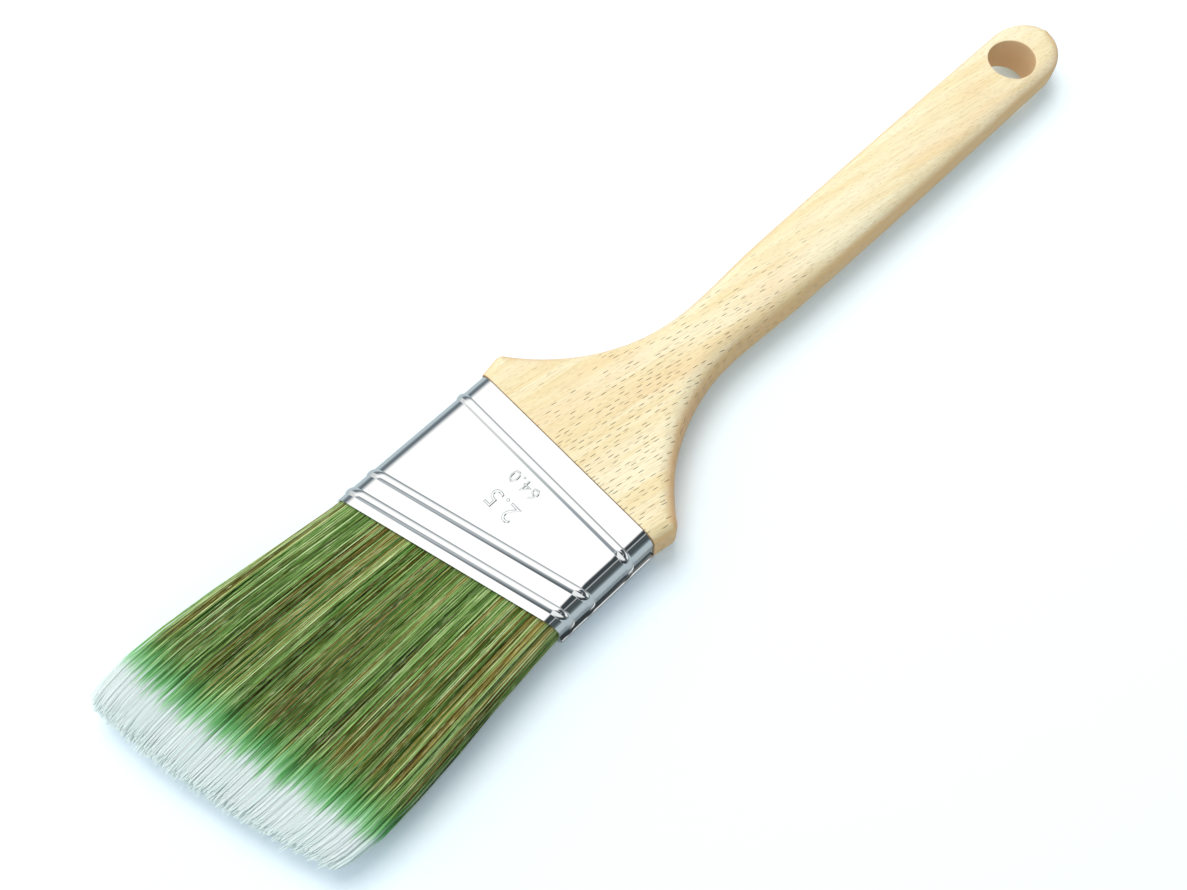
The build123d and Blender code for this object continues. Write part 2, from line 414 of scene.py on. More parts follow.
def ferrule_section():
    """Points round the band, their outward normals, how far the lap lifts each, the
    points of the inside, which has no lap, and the share of a bead's height."""
    y, z = half_width - ferrule_corner, half_thick - ferrule_corner
    points, normals, lifts, inside, shares = [], [], [], [], []
    sides = (  # a corner's centre, the angle it starts from, the flat after it, its steps
        (y, -z, -90, (0, 2 * z), narrow_steps),
        (y, z, 0, (-2 * y, 0), wide_steps),
        (-y, z, 90, (0, -2 * z), narrow_steps),
        (-y, -z, 180, (2 * y, 0), wide_steps),
    )
    for corner_y, corner_z, begin, run, steps in sides:
        turns = np.radians(np.linspace(begin, begin + 90, corner_stations))
        arc = np.stack([np.cos(turns), np.sin(turns)], 1)
        points.append(np.array([corner_y, corner_z]) + ferrule_corner * arc)
        normals.append(arc)
        lapped = begin == -90
        lifts.append(seam_step * ease(-seam_low_end, -seam_low, turns) * lapped)
        shares.append(1 - lifts[-1] / seam_step)
        flat = points[-1][-1] + np.linspace(0, 1, steps + 1)[1:-1, None] * np.array(run)
        lift = np.zeros(len(flat))
        inside += [points[-1], flat]
        if lapped:
            edge_up, edge_lift = lap_edge()
            edge = points[-1][-1] + np.outer(edge_up, (0.0, 1.0))
            even = flat[:1] + np.linspace(0, 1, len(edge))[:, None] * (flat[1] - flat[0])
            inside[-1] = np.concatenate([even[:-1], flat[1:]])
            flat = np.concatenate([edge[:-1], flat[1:]])
            lift = np.concatenate([edge_lift[:-1], lift[1:]])
        points.append(flat)
        normals.append(np.repeat(arc[-1:], len(flat), 0))
        lifts.append(lift)
        shares.append(ease(*seam_fade, flat[:, 1]) if lapped else np.ones(len(flat)))
    return [np.concatenate(part) for part in (points, normals, lifts, inside, shares)]


def make_ferrule():
    section, normals, lap, inside, bead_share = ferrule_section()
    offsets, heights = bead_profile()
    # rows: place along the centre line, how far it follows the mouth's lean, height
    rows = [(ferrule_x, 0.0, 0.0), (ferrule_x + handle_hem, 0.0, 0.0)]
    rows += [(ferrule_x + handle_bead + o, 0.0, h) for o, h in zip(offsets, heights)]
    second = mouth_x - mouth_beads[0] + offsets[0]
    first = ferrule_x + handle_bead + offsets[-1]
    for share in np.linspace(0, 1, between_rows)[1:-1]:
        rows.append((first + (second - first) * share, share, 0.0))
    for back in mouth_beads:
        rows += [(mouth_x - back + o, 1.0, h) for o, h in zip(offsets, heights)]
    rows += [(mouth_x - mouth_hem, 1.0, 0.0), (mouth_x, 1.0, 0.0)]
    count = len(section)

    def ring(x, lean, height, base=section, lift=lap):
        lifted = height * bead_share + lift
        plan = base + normals * lifted[:, None]
        along = x - plan[:, 0] * mouth_lean * lean
        return np.column_stack([along, plan])

    outer = [ring(*row) for row in rows]
    inner = [ring(x, lean, h, inside, -ferrule_wall) for x, lean, h in rows]
    loops = outer + inner[::-1]
    faces = []
    for r in range(len(loops)):
        here, after = r * count, (r + 1) % len(loops) * count
        for c in range(count):
            d = (c + 1) % count
            faces.append([here + c, here + d, after + d, after + c])
    return closed_piece("ferrule_sheet", np.concatenate(loops), faces,
                        "ferrule", "ferrule", 40)


# ---- size mark ------------------------------------------------------------------------

mark_rows = (  # name, digits, height of the digits, place along X
    ("mark_large", "2.5", 5.2, 198.4),
    ("mark_small", "64.0", 3.6, 190.9),
)
mark_y = -0.8
mark_slope = 0.2  # how wide the digits' sloping sides are
mark_flat = 0.01  # half the height of their upright sides
mark_flatten = 0.75
mark_spacing = 1.1
mark_thinned = 0.8 * mark_slope  # so that the slopes don't make the strokes heavy
digit_share = 0.72  # a digit's height over the size of its font


def make_mark(name, text, height, x):
    """Plain raised digits on the band, upright when the bristles point up."""
    curve = bpy.data.curves.new(name, "FONT")
    curve.body = text
    curve.size = height / digit_share * MM
    curve.align_x = "CENTER"
    curve.align_y = "CENTER"
    curve.space_character = mark_spacing
    curve.offset = -mark_thinned * MM
    curve.extrude = mark_flat * MM
    curve.bevel_depth = mark_slope * MM
    curve.bevel_resolution = 0
    curve.resolution_u = 8
    text_object = bpy.data.objects.new(name + "_text", curve)
    bpy.context.scene.collection.objects.link(text_object)
    bpy.context.view_layer.update()
    mesh = bpy.data.meshes.new_from_object(text_object)
    bpy.data.objects.remove(text_object)
    mark = bpy.data.objects.new(name, mesh)
    bpy.context.scene.collection.objects.link(mark)
    mark.location = Vector((x, mark_y, half_thick)) * MM
    mark.rotation_euler = (0, 0, -math.pi / 2)
    mark.scale = (1, 1, mark_flatten)
    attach(mark, "root")
    mesh.shade_smooth()
    mesh.set_sharp_from_angle(angle=math.radians(30))
    return mark


# ---- filaments ------------------------------------------------------------------------
# In this section a share is a place along a filament: 0 at the mouth and 1 at the tip.

bristle_length = 76.5
tip_lean = math.tan(math.radians(15.0))
tip_round = 2.5  # how far back the tips are at the bundle's two sides
tip_spread = 1.10  # widths and thicknesses here are over those at the mouth
side_flare = 0.22
tip_draw = 8  # a power: how late the tips draw in
tip_thin = 0.42
belly = 0.29
chisel = 0.015
chisel_power = 1.5
bundle_half = np.array([half_width - 0.8, half_thick - 0.8])
bundle_round = 3.7
layer_thick = 2 * bundle_half[1] / 3
epoxy_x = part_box("setting_epoxy")[1].x / MM
spacer_thick = 1.8
filament_wide = 0.294
filament_rings = np.array([-0.30, -0.05, 0.03, 0.27, 0.5, 0.7, 0.86, 0.95, 1.0])
filament_sides = 3
flat_from = (0.7, 0.88)  # the shares between which filaments widen and flatten
point_from = (0.955, 1.0)  # and between which they come to a point

# how unruly the filaments are
place_jitter = 0.3  # over a filament's width
end_jitter = 0.011
short_most, short_power = 0.03, 6
stray_spread = 0.28
wild_share, wild_spread = 0.12, 1.2  # the few that stray more
rim_from, rim_stray, rim_power = 0.94, 1.3, 2.2  # outwards, at the bundle's two sides
lift_spread = 0.06
wave_spread = 0.06
wave_turn_y, wave_turn_z = 5, 4
lock_half, lock_count, lock_turn, lock_pull = 32, 40, 5.0, 0.22


def spread_at(share):
    """Width over the width at the mouth: the sides flare, and the tips draw in."""
    return 1 + side_flare * share - (1 + side_flare - tip_spread) * share**tip_draw


def thin_at(share):
    """Thickness over the thickness at the mouth: a belly, and thin tips."""
    return 1 + (tip_thin - 1) * share + 4 * belly * share * (1 - share)


def packed_places(layer, draw):
    """Places of one layer's filaments across the bundle, at the mouth."""
    low = (layer - 0.5) * layer_thick
    rows = int(round(layer_thick / (filament_wide * 0.866)))
    places = []
    for row in range(rows):
        z = low + (row + 0.5) * layer_thick / rows
        over = min(max(0.0, abs(z) - (bundle_half[1] - bundle_round)), bundle_round)
        half = bundle_half[0] - bundle_round + math.sqrt(bundle_round**2 - over**2)
        columns = int(2 * half / filament_wide)
        y = (np.arange(columns) + 0.5 * (row % 2) + 0.25) / columns * 2 - 1
        places.append(np.column_stack([y * half, np.full(columns, z)]))
    places = np.concatenate(places)
    return places + draw.uniform(-place_jitter, place_jitter, places.shape) * filament_wide


def lane_pattern(draw, across, share, lane, lean):
    """A patchy value from 0 to 1 that runs in lanes, a little askew to the filaments."""
    edges = np.arange(-45, 45, lane)
    start = np.interp(across + lean * share, edges, draw.uniform(0, 1, len(edges)))
    finish = np.interp(across - lean * share, edges, draw.uniform(0, 1, len(edges)))
    return start * (1 - share) + finish * share


def tube_mesh(name, points, count):
    """A mesh of closed tubes, from the points of every tube's rings in turn."""
    rings, sides = len(filament_rings), filament_sides
    corner = np.arange(sides)
    base = np.arange(count)[:, None, None] * rings * sides
    step = np.arange(rings - 1)[None, :, None] * sides
    here, after = corner[None, None, :], (corner[None, None, :] + 1) % sides
    quads = np.stack([base + step + here, base + step + sides + here,
                      base + step + sides + after, base + step + after], 3).reshape(-1, 4)
    caps = np.concatenate([base[:, 0] + corner,
                           base[:, 0] + (rings - 1) * sides + corner[::-1]])
    loops = np.concatenate([quads.ravel(), caps.ravel()])
    starts = np.concatenate([np.arange(len(quads)) * 4,
                             len(quads) * 4 + np.arange(len(caps)) * sides])
    mesh = bpy.data.meshes.new(name)
    mesh.vertices.add(len(points))
    mesh.vertices.foreach_set("co", (points * MM).astype(np.float32).ravel())
    mesh.loops.add(len(loops))
    mesh.loops.foreach_set("vertex_index", loops.astype(np.int32))
    mesh.polygons.add(len(starts))
    mesh.polygons.foreach_set("loop_start", starts.astype(np.int32))
    mesh.update(calc_edges=True)
    mesh.validate()
    mesh.shade_flat()
    return mesh


def write_colours(mesh, draw, y, free, to_tip, around):
    """What the material reads: tone, hue, the distance to the tip and the place across,
    the last two over 100 mm."""
    one_each = (len(y), 1)
    tone = (0.16 * lane_pattern(draw, y, free, 0.5, 0.4)
            + 0.14 * lane_pattern(draw, y, free, 1.3, -0.8)
            + 0.70 * draw.uniform(0, 1, one_each))
    toe = 1 - ease(-32, -26, y)
    tone = np.clip(0.52 + 1.1 * (tone - 0.5) + 0.2 * toe, 0, 1)
    hue = (0.34 * lane_pattern(draw, y, free, 4.5, 2.5)
           + 0.30 * lane_pattern(draw, y, free, 0.9, -1.0)
           + 0.36 * draw.uniform(0, 1, one_each))
    patch = 1.4 * (lane_pattern(draw, y, free, 4.0, 0.0) - 0.5)
    patch = patch + draw.normal(0, 1.3, one_each)
    colour = np.ones((len(y), len(filament_rings), filament_sides, 4), np.float32)
    colour[..., 0] = tone[:, :, None]
    colour[..., 1] = hue[:, :, None]
    colour[..., 2] = np.clip((to_tip + patch) / 100, 0, 1)[:, :, None]
    colour[..., 3] = 0.5 + (y[:, :, None] + 0.15 * np.cos(around)[:, None]) / 100
    attribute = mesh.color_attributes.new("Filament", "FLOAT_COLOR", "POINT")
    attribute.data.foreach_set("color", colour.ravel())


def make_filaments(name, node, layer, seed):
    draw = np.random.default_rng(seed)
    place = packed_places(layer, draw)
    count = len(place)
    one_each = (count, 1)
    y, z = place[:, :1], place[:, 1:]
    squeeze = (layer_thick - spacer_thick * 2 / 3) / layer_thick
    root_z = layer * layer_thick + (z - layer * layer_thick) * squeeze
    side = bundle_half[0] * tip_spread
    tip_y = y * tip_spread
    tip_x = mouth_x + bristle_length - tip_y * tip_lean - tip_round * (tip_y / side) ** 2
    root_x = mouth_x - y * mouth_lean
    edge = (np.abs(z) / bundle_half[1]) ** chisel_power
    short = short_most * draw.uniform(0, 1, one_each) ** short_power
    end = 1 - chisel * edge + draw.normal(0, end_jitter, one_each) - short

    # each filament strays a little on its own, a few stray more, and all gather in locks
    stray = draw.normal(0, stray_spread, one_each) + (
        draw.uniform(0, 1, one_each) < wild_share) * draw.normal(0, wild_spread, one_each)
    rim = np.sign(y) * (np.abs(y) > rim_from * bundle_half[0])
    stray += rim * rim_stray * draw.uniform(0, 1, one_each) ** rim_power
    lift = draw.normal(0, lift_spread, one_each)
    wave = draw.normal(0, wave_spread, (count, 2))
    wave_start = draw.uniform(0, 2 * math.pi, one_each)
    lock_angles = np.cumsum(draw.uniform(0.5, 1.5, lock_count)) * lock_turn
    lock_places = np.linspace(-lock_half, lock_half, lock_count)
    lock = np.interp(y[:, 0], lock_places, lock_angles)[:, None]

    share = filament_rings[None, :]
    free = np.clip(share, 0, 1) * end
    loose = ease(0.0, 0.5, free) * free
    x = root_x + (tip_x - root_x) * free
    x = np.where(share < 0, root_x + share * (root_x - epoxy_x) / -filament_rings[0], x)
    middle_y = y * spread_at(free) + (stray - lock_pull * np.sin(lock)) * loose
    middle_y += wave[:, :1] * np.sin(wave_start + wave_turn_y * free) * loose
    middle_z = z * thin_at(free) + lift * loose
    middle_z += wave[:, 1:] * np.cos(wave_start + wave_turn_z * free) * loose
    inside = root_z + (z - root_z) * ease(-0.1, 0.0, share)
    middle_z = np.where(share < 0, inside, middle_z)
    flattened, pointed = ease(*flat_from, share), ease(*point_from, share)
    wide = filament_wide * (1 + 0.3 * flattened - 0.9 * pointed)

    centres = np.stack(np.broadcast_arrays(x, middle_y, middle_z), 2)
    steps_round = np.arange(filament_sides) * 2 * math.pi / filament_sides
    around = draw.uniform(0, 2 * math.pi, one_each) + steps_round
    normal = np.stack([np.zeros_like(around), np.cos(around), np.sin(around)], 2)
    flat = 0.5 * flattened
    size = np.stack(np.broadcast_arrays(0, wide * (1 + flat), wide * (1 - flat)), 2) * 0.58
    points = (centres[:, :, None, :] + normal[:, None] * size[:, :, None]).reshape(-1, 3)

    mesh = tube_mesh(name, points, count)
    to_tip = np.where(share < 0, tip_x - root_x, tip_x - x)
    write_colours(mesh, draw, y, free, to_tip, around)
    return add_piece(name, mesh, "bristle", node)


# ---- materials ------------------------------------------------------------------------


class Shader:
    """A small helper to build node trees."""

    def __init__(self, tree):
        self.nodes = tree.nodes
        self.links = tree.links

    def node(self, kind, inputs=(), **settings):
        made = self.nodes.new(kind)
        for key, value in settings.items():
            setattr(made, key, value)
        for key, value in dict(inputs).items():
            self.put(made.inputs[key], value)
        return made

    def put(self, socket, value):
        if isinstance(value, bpy.types.NodeSocket):
            self.links.new(value, socket)
        elif socket.type == "RGBA":
            socket.default_value = (*value, 1.0)
        else:
            socket.default_value = value

    def math(self, operation, a, b=0.0):
        return self.node("ShaderNodeMath", {0: a, 1: b}, operation=operation).outputs[0]

    def product(self, first, *others):
        for other in others:
            first = self.math("MULTIPLY", first, other)
        return first

    def vector(self, operation, a, b):
        made = self.node("ShaderNodeVectorMath", {0: a, 1: b}, operation=operation)
        single = operation in ("DOT_PRODUCT", "DISTANCE")
        return made.outputs["Value" if single else "Vector"]

    def split(self, vector):
        """The X, Y and Z of a vector."""
        return self.node("ShaderNodeSeparateXYZ", {"Vector": vector}).outputs

    def mix(self, factor, a, b):
        made = self.node("ShaderNodeMix", data_type="RGBA")
        for index, value in ((0, factor), (6, a), (7, b)):
            self.put(made.inputs[index], value)
        return made.outputs[2]

    def span(self, value, low, high, to_low=0.0, to_high=1.0):
        """Maps low..high to to_low..to_high smoothly and holds the ends."""
        inputs = {"Value": value, "From Min": low, "From Max": high,
                  "To Min": to_low, "To Max": to_high}
        made = self.node("ShaderNodeMapRange", inputs, interpolation_type="SMOOTHSTEP")
        return made.outputs["Result"]

    def ramp(self, value, stops):
        made = self.node("ShaderNodeValToRGB", {"Fac": value})
        elements = made.color_ramp.elements
        elements[0].position, elements[0].color = stops[0][0], (*stops[0][1], 1)
        elements[1].position, elements[1].color = stops[-1][0], (*stops[-1][1], 1)
        for position, colour in stops[1:-1]:
            elements.new(position).color = (*colour, 1)
        return made.outputs["Color"]

    def noise(self, vector, detail=2.0, roughness=0.5):
        inputs = {"Vector": vector, "Scale": 1.0, "Detail": detail, "Roughness": roughness}
        return self.node("ShaderNodeTexNoise", inputs).outputs["Fac"]


class Material(Shader):
    """A new material with its Principled shader at hand."""

    def __init__(self, name):
        self.made = bpy.data.materials.new(name)
        self.made.use_nodes = True
        super().__init__(self.made.node_tree)
        self.bsdf = self.nodes["Principled BSDF"]
        self.place = self.node("ShaderNodeTexCoord").outputs["Object"]

    def cells(self, along, across, deep, turn=0.0):
        """The place on the piece, turned about Z, in cells of a size in millimetres."""
        turned = self.node("ShaderNodeVectorRotate", {"Vector": self.place, "Angle": turn},
                           rotation_type="Z_AXIS")
        scale = tuple(1 / (size * MM) for size in (along, across, deep))
        return self.vector("MULTIPLY", turned.outputs[0], scale)

    def set(self, socket, value):
        self.put(self.bsdf.inputs[socket], value)

    def bump(self, height, distance_mm):
        inputs = {"Height": height, "Strength": 1.0, "Distance": distance_mm * MM}
        self.set("Normal", self.node("ShaderNodeBump", inputs).outputs["Normal"])


def srgb(red, green, blue):
    """A linear colour from 0 to 255 display values."""
    return tuple(
        v / 255 / 12.92 if v / 255 <= 0.04045 else ((v / 255 + 0.055) / 1.055) ** 2.4
        for v in (red, green, blue)
    )


GRAIN_TURN = math.radians(9.9)  # of the grain, from the handle's length
wood_knots = (  # place, and size
    ((99.3, 7.2, 5.0), 0.9),
    ((72.6, 7.1, 5.0), 0.6),
    ((125.9, 5.9, 6.0), 0.35),
)


def flecks(wood, along, across, steps, half_sizes, seed, amount):
    """Short flecks in rows along the grain; more of them where amount is high.
    steps are from one fleck to the next, along and across, in millimetres, and
    half_sizes are over those steps."""
    row = wood.math("ADD", wood.math("DIVIDE", across, steps[1]), seed)
    row_number = wood.math("FLOOR", row)
    shift = wood.node("ShaderNodeTexWhiteNoise", {"W": row_number}, noise_dimensions="1D")
    place = wood.math("ADD", wood.math("DIVIDE", along, steps[0]),
                      wood.math("MULTIPLY", shift.outputs["Value"], 9.0))
    key = wood.node("ShaderNodeCombineXYZ",
                    {"X": row_number, "Y": wood.math("FLOOR", place), "Z": seed})
    draw = wood.node("ShaderNodeTexWhiteNoise", {"Vector": key.outputs[0]})
    draw = wood.node("ShaderNodeSeparateColor", {"Color": draw.outputs["Color"]}).outputs

    def squared_offset(count, jitter, jitter_wide, half_size):
        """From the middle of a fleck, over its half size, squared."""
        middle = wood.math("ADD", wood.math("MULTIPLY", jitter, jitter_wide),
                           0.5 - jitter_wide / 2)
        offset = wood.math("SUBTRACT", wood.math("FRACT", count), middle)
        return wood.math("POWER", wood.math("DIVIDE", offset, half_size), 2.0)

    shape = wood.math("ADD", squared_offset(row, draw[1], 0.5, half_sizes[1]),
                      squared_offset(place, draw[2], 0.3, half_sizes[0]))
    picked = wood.math("ADD", draw[0], wood.math("SUBTRACT", amount, 1.0))
    return wood.product(wood.span(shape, 0.5, 1.3, 1, 0), wood.span(picked, 0.15, 0.6))


def wood_material():
    wood = Material("beech")
    bands = wood.noise(wood.cells(70, 4.5, 3.2, GRAIN_TURN), 3.0, 0.55)
    blush = wood.noise(wood.cells(45, 8, 8, GRAIN_TURN), 1.0)
    fibre = wood.noise(wood.cells(9, 0.32, 0.32, GRAIN_TURN), 3.0, 0.7)
    base = wood.mix(wood.span(bands, 0.35, 0.65), srgb(242, 218, 169), srgb(249, 233, 196))
    base = wood.mix(wood.span(blush, 0.48, 0.72, 0, 0.45), base, srgb(242, 208, 162))
    base = wood.mix(wood.span(fibre, 0.42, 0.72, 0, 0.34), base, srgb(200, 158, 100))

    # the flecks: they follow the grain, and wander a little across it
    along_x, along_y, _ = wood.split(wood.place)
    faces = wood.node("ShaderNodeTexCoord").outputs["Normal"]
    level = wood.math("ABSOLUTE", wood.vector("DOT_PRODUCT", faces, (0.0, 0.0, 1.0)))
    turned = wood.split(wood.cells(1, 1, 1, GRAIN_TURN))
    wave = wood.math("SUBTRACT", wood.noise(wood.cells(40, 9, 9, GRAIN_TURN), 1.0), 0.5)
    top = wood.span(level, 0.5, 0.7)
    side_share = wood.math("SUBTRACT", 1.0, top)
    across = wood.math("ADD", wood.product(turned["Y"], top),
                       wood.product(turned["Z"], side_share))
    across = wood.math("ADD", across, wave)
    # Fewer dark flecks on the grip. Fewer towards the toe side too: a painted highlight,
    # where the light washes them out.
    busy = wood.span(along_x, 0.06, 0.14, 0.3, 1.0)
    busy = wood.product(busy, wood.span(along_y, -0.026, 0.004, 0.3, 1.0))
    dark = flecks(wood, turned["X"], across, (3.1, 1.15), (0.31, 0.065), 0.0, busy)
    faint = flecks(wood, turned["X"], across, (2.4, 0.62), (0.30, 0.17), 12.1, 0.7)

    grain = (math.cos(GRAIN_TURN), -math.sin(GRAIN_TURN), 0.0)
    end_grain = wood.math("ABSOLUTE", wood.vector("DOT_PRODUCT", faces, grain))
    # Sides darker and warmer than the top: painted shade on the flanks, partly the warmer
    # tone of the side grain.
    base = wood.mix(wood.span(level, 0.3, 0.85, 0.75, 0), base, srgb(218, 166, 98))
    base = wood.mix(wood.span(end_grain, 0.2, 0.7, 0, 0.7), base, srgb(224, 172, 116))
    base = wood.mix(wood.product(faint, 0.35), base, srgb(196, 152, 98))
    base = wood.mix(wood.product(dark, 0.95), base, srgb(60, 40, 14))
    off_axis = wood.vector("MULTIPLY", wood.place, (1.0, 1.0, 0.0))
    from_axis = wood.vector("DISTANCE", off_axis, (0.0, 0.0, 0.0))
    hole_wall = wood.span(from_axis, 0.0071, 0.0073, 0.45, 0)
    base = wood.mix(hole_wall, base, srgb(240, 214, 174))
    # A dark line where the wood meets the ferrule: painted shade of the gap there, partly
    # glue and dirt in the joint.
    glue_and_shade_line = wood.span(along_x, 0.17762, 0.1779, 0, 0.8)  # the line against the ferrule
    base = wood.mix(glue_and_shade_line, base, srgb(92, 68, 42))
    for place, size in wood_knots:
        away = wood.vector("DISTANCE", wood.place, tuple(value * MM for value in place))
        spot = wood.span(away, 0.5 * size * MM, 1.8 * size * MM, 0.75, 0)
        base = wood.mix(spot, base, srgb(176, 118, 66))
    wood.set("Base Color", base)
    wood.set("Roughness", wood.span(fibre, 0.3, 0.7, 0.42, 0.52))
    wood.set("Specular IOR Level", 0.4)
    wood.bump(wood.math("SUBTRACT", wood.product(fibre, 0.3), dark), 0.04)
    return wood.made


def steel_material():
    steel = Material("bright_steel")
    haze = steel.noise(steel.cells(9, 9, 9))
    rolled = steel.noise(steel.cells(30, 0.3, 0.3))
    steel.set("Base Color", steel.mix(haze, (0.615, 0.638, 0.638), (0.645, 0.668, 0.668)))
    steel.set("Metallic", 1.0)
    steel.set("Roughness", steel.span(rolled, 0.3, 0.7, 0.05, 0.08))
    steel.bump(haze, 0.01)
    return steel.made


def filament_material():
    """Green and brown filaments with white tips; to_tip is the distance over 100 mm."""
    hair = Material("filament")
    read = hair.node("ShaderNodeAttribute", attribute_name="Filament")
    parts = hair.node("ShaderNodeSeparateColor", {"Color": read.outputs["Color"]})
    tone, hue, to_tip = parts.outputs

    def streaks(length, width):
        """Fine streaks of a size in millimetres that follow the filaments."""
        where = hair.node("ShaderNodeCombineXYZ", {
            "X": hair.product(to_tip, 100 / length),
            "Y": hair.product(read.outputs["Alpha"], 100 / width),
            "Z": hair.product(tone, 70.0)})
        return hair.noise(where.outputs[0], 1.0)

    glint = streaks(3.6, 0.12)
    tone = hair.math("ADD", tone, hair.span(streaks(12, 0.13), 0.25, 0.75, -0.36, 0.36))
    # Lighter towards the mouth: painted light, standing in for the sheen on the filaments
    # near the ferrule.
    tone = hair.math("ADD", tone, hair.span(to_tip, 0.35, 0.75, 0, 0.1))
    green = hair.ramp(tone, [(0.0, srgb(14, 26, 2)), (0.3, srgb(86, 126, 44)),
                             (0.6, srgb(136, 182, 86)), (0.85, srgb(176, 208, 124)),
                             (1.0, srgb(226, 240, 176))])
    brown = hair.ramp(tone, [(0.0, srgb(28, 20, 2)), (0.4, srgb(118, 100, 36)),
                             (0.75, srgb(168, 150, 68)), (1.0, srgb(216, 200, 126))])
    body = hair.mix(hair.span(hue, 0.48, 0.62), green, brown)
    # Painted highlights: pale streaks along the filaments where glint is high. Where it is
    # low, dark streaks.
    body = hair.mix(hair.span(glint, 0.62, 0.70, 0, 0.7), body, srgb(236, 242, 180))
    body = hair.mix(hair.span(glint, 0.30, 0.40, 0.6, 0), body, srgb(20, 30, 4))
    fresh = hair.ramp(tone, [(0.0, srgb(30, 96, 28)), (0.5, srgb(98, 168, 78)),
                             (1.0, srgb(176, 224, 148))])
    bright = hair.ramp(tone, [(0.0, srgb(104, 196, 100)), (1.0, srgb(190, 240, 182))])
    pale = hair.ramp(tone, [(0.0, srgb(244, 251, 246)), (1.0, srgb(253, 255, 252))])
    for colour, near, away in ((fresh, 0.15, 0.25), (bright, 0.125, 0.185),
                               (pale, 0.09, 0.142)):
        body = hair.mix(hair.span(to_tip, near, away, 1, 0), body, colour)
    hair.set("Base Color", body)
    hair.set("Roughness", 0.34)
    hair.set("Specular IOR Level", 0.3)
    through = hair.node("ShaderNodeBsdfTranslucent", {"Color": body})
    share = hair.span(to_tip, 0.10, 0.25, 0.42, 0.2)
    surface = hair.node("ShaderNodeMixShader",
                        {0: share, 1: hair.bsdf.outputs[0], 2: through.outputs[0]})
    hair.put(hair.nodes["Material Output"].inputs["Surface"], surface.outputs[0])
    return hair.made


def plain_material(name, light, dark, grain, roughness):
    """A hidden piece: two tones in grains of a size, with a faint bump."""
    plain = Material(name)
    noise = plain.noise(plain.cells(*grain), 3.0)
    plain.set("Base Color", plain.mix(plain.span(noise, 0.35, 0.65), dark, light))
    plain.set("Roughness", roughness)
    plain.bump(noise, 0.02)
    return plain.made


def dress(obj, material):
    obj.data.materials.clear()
    obj.data.materials.append(material)


# ---- stage ----------------------------------------------------------------------------

MIRRORED = 1 / 1.5  # how bright polished metal sees the floor and the room
floor_half = 3.0
floor_glow = 0.06
far_glow = 0.8  # it hides the horizon


def make_floor():
    """A pale floor; seen by the camera or in metal, it has a little light of its own."""
    ends = [(-1, -1), (1, -1), (1, 1), (-1, 1)]
    corners = [(x * floor_half, y * floor_half, floor_z * MM) for x, y in ends]
    mesh = bpy.data.meshes.new("floor")
    mesh.from_pydata(corners, [], [(0, 1, 2, 3)])
    floor = bpy.data.objects.new("floor", mesh)
    bpy.context.scene.collection.objects.link(floor)
    pale = Material("pale_floor")
    cloud = pale.noise(pale.cells(300, 300, 300))
    path = pale.node("ShaderNodeLightPath").outputs
    colour = pale.mix(cloud, (0.895, 0.96, 0.99), (0.905, 0.965, 0.99))
    dim = pale.product(path["Is Glossy Ray"], 1 - MIRRORED)
    pale.set("Base Color", pale.mix(dim, colour, (0.0, 0.0, 0.0)))
    pale.set("Roughness", 0.9)
    pale.set("Specular IOR Level", 0.0)
    pale.set("Emission Color", (1.0, 1.0, 1.0))
    seen = pale.math("MAXIMUM", path["Is Camera Ray"], path["Is Transmission Ray"])
    seen = pale.math("MAXIMUM", seen, pale.product(path["Is Glossy Ray"], MIRRORED))
    away = pale.vector("DISTANCE", pale.place, (0.15, 0.0, floor_z * MM))
    far = pale.product(path["Is Camera Ray"], pale.span(away, 0.45, 2.4, 0, far_glow))
    pale.set("Emission Strength", pale.math("ADD", pale.product(seen, floor_glow), far))
    dress(floor, pale.made)


